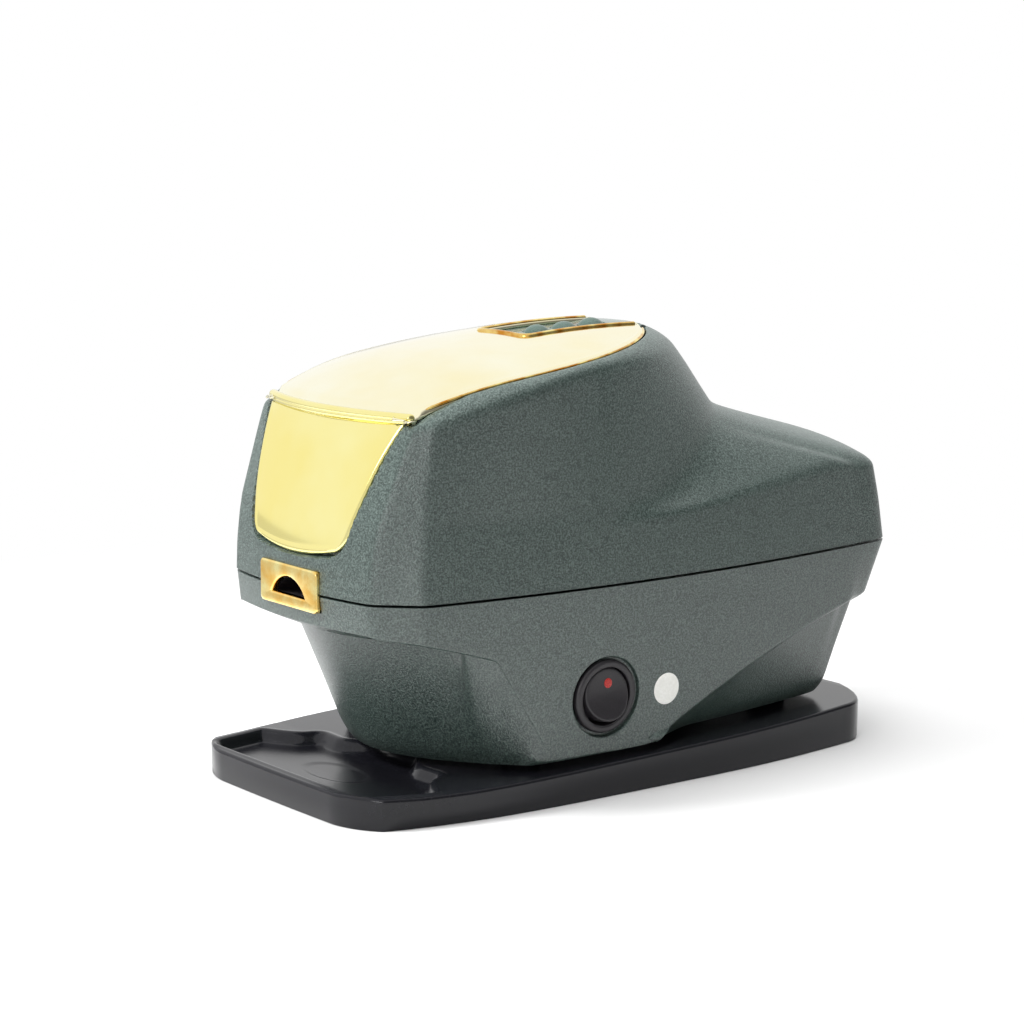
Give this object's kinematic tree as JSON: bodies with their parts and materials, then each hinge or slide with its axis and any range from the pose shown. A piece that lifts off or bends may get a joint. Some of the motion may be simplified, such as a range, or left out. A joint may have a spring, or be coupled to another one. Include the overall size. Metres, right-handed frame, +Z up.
{
  "type": "hot lather machine",
  "caption": "Countertop lather dispenser: crowned housing with hinged lid over a soap tank, round push buttons, front foam outlet, side rocker switch, on a drip tray.",
  "frame": {"origin": "centre of the bottom of the bounding box, on the surface that the drip tray stands on", "axes": "+X across the width, towards the rocker switch; +Y from the outlet to the rear; +Z up"},
  "size_m": [0.1136, 0.2154, 0.1406],
  "materials": {
    "green_plastic": "fine grain, satin",
    "gold_plastic": "plated, glossy",
    "black_plastic": "satin",
    "tray_black": "matte",
    "rubber": "matte",
    "steel": "plain",
    "aluminium": "satin",
    "clear_plastic": "satin",
    "board": "glossy",
    "copper_iron": "plain"
  },
  "bodies": {
    "tray": {"drip_tray": "tray_black"},
    "machine": {"lower_housing": "green_plastic", "upper_housing": "green_plastic", "rubber_feet": "rubber", "housing_screws": "steel", "front_panel": "gold_plastic", "outlet_plate": "gold_plastic", "outlet_tube": "black_plastic", "lid_hinge_pins": "steel", "top_frame": "green_plastic", "soap_tank": "clear_plastic", "tank_seal": "rubber", "button_board": "board", "key_switches": "black_plastic", "switch_body": "black_plastic", "foam_chamber": "clear_plastic", "heater_band": "aluminium", "thermostat": "black_plastic", "feed_tube": "clear_plastic", "shaft_seal": "rubber", "motor": "steel", "motor_mount": "steel", "mount_screws": "steel", "control_board": "board", "board_parts": "black_plastic", "board_screws": "steel", "transformer": "copper_iron", "transformer_screws": "steel", "power_inlet": "black_plastic"},
    "lid": {"lid": "gold_plastic"},
    "front_button": {"button_front": "green_plastic"},
    "middle_button": {"button_middle": "green_plastic"},
    "rear_button": {"button_rear": "green_plastic"},
    "rocker": {"switch_rocker": "black_plastic"},
    "rotor": {"beater": "clear_plastic", "shaft_coupling": "aluminium"}
  },
  "joints": [
    {"name": "machine_lift", "type": "slide", "parent": "tray", "child": "machine", "axis": [0, 0, 1], "range_m": [0, 0.08]},
    {"name": "lid_hinge", "type": "hinge", "parent": "machine", "child": "lid", "pos_m": [0, 0.02265, 0.1375], "axis": [-1, 0, 0], "range_deg": [0, 70]},
    {"name": "front_button_press", "type": "slide", "parent": "machine", "child": "front_button", "axis": [0, 0, -1], "range_m": [0, 0.0012], "stiffness_N_per_m": 600, "springref_m": -0.0012},
    {"name": "middle_button_press", "type": "slide", "parent": "machine", "child": "middle_button", "axis": [0, 0, -1], "range_m": [0, 0.0012], "stiffness_N_per_m": 600, "springref_m": -0.0012},
    {"name": "rear_button_press", "type": "slide", "parent": "machine", "child": "rear_button", "axis": [0, 0, -1], "range_m": [0, 0.0012], "stiffness_N_per_m": 600, "springref_m": -0.0012},
    {"name": "rocker_tilt", "type": "hinge", "parent": "machine", "child": "rocker", "pos_m": [0.0503, -0.02065, 0.03076], "axis": [0, 1, 0], "range_deg": [0, 24]},
    {"name": "beater_spin", "type": "hinge", "parent": "machine", "child": "rotor", "pos_m": [0, -0.06075, 0.057], "axis": [0, 1, 0], "continuous": true}
  ]
}
